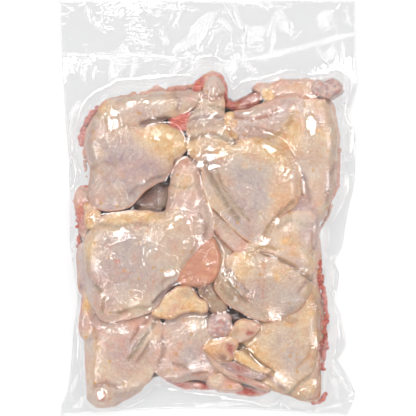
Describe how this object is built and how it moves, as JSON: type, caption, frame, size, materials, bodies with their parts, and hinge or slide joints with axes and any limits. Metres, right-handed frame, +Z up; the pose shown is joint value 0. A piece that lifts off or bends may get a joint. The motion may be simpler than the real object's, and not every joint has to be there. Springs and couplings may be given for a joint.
{
  "type": "vacuum pack of raw chicken leg quarters",
  "caption": "Flat clear vacuum pouch packed with raw skin-on chicken leg quarters, film drawn tight over thighs and drumsticks, wide wrinkled flange.",
  "frame": {"origin": "on the surface the pouch lies on, under the middle of its bounding box", "axes": "+X to the pouch's right and +Y to its sealed mouth as looked down on, +Z up from the surface it lies on"},
  "size_m": [0.398, 0.555, 0.0588],
  "materials": {
    "film": "clear glossy plastic film with fine wrinkles",
    "skin": "raw chicken skin, pale pink to cream with yellow fat under it, moist",
    "flesh": "raw red poultry meat, moist"
  },
  "bodies": {
    "root": {"pouch": "film"}
  },
  "joints": []
}
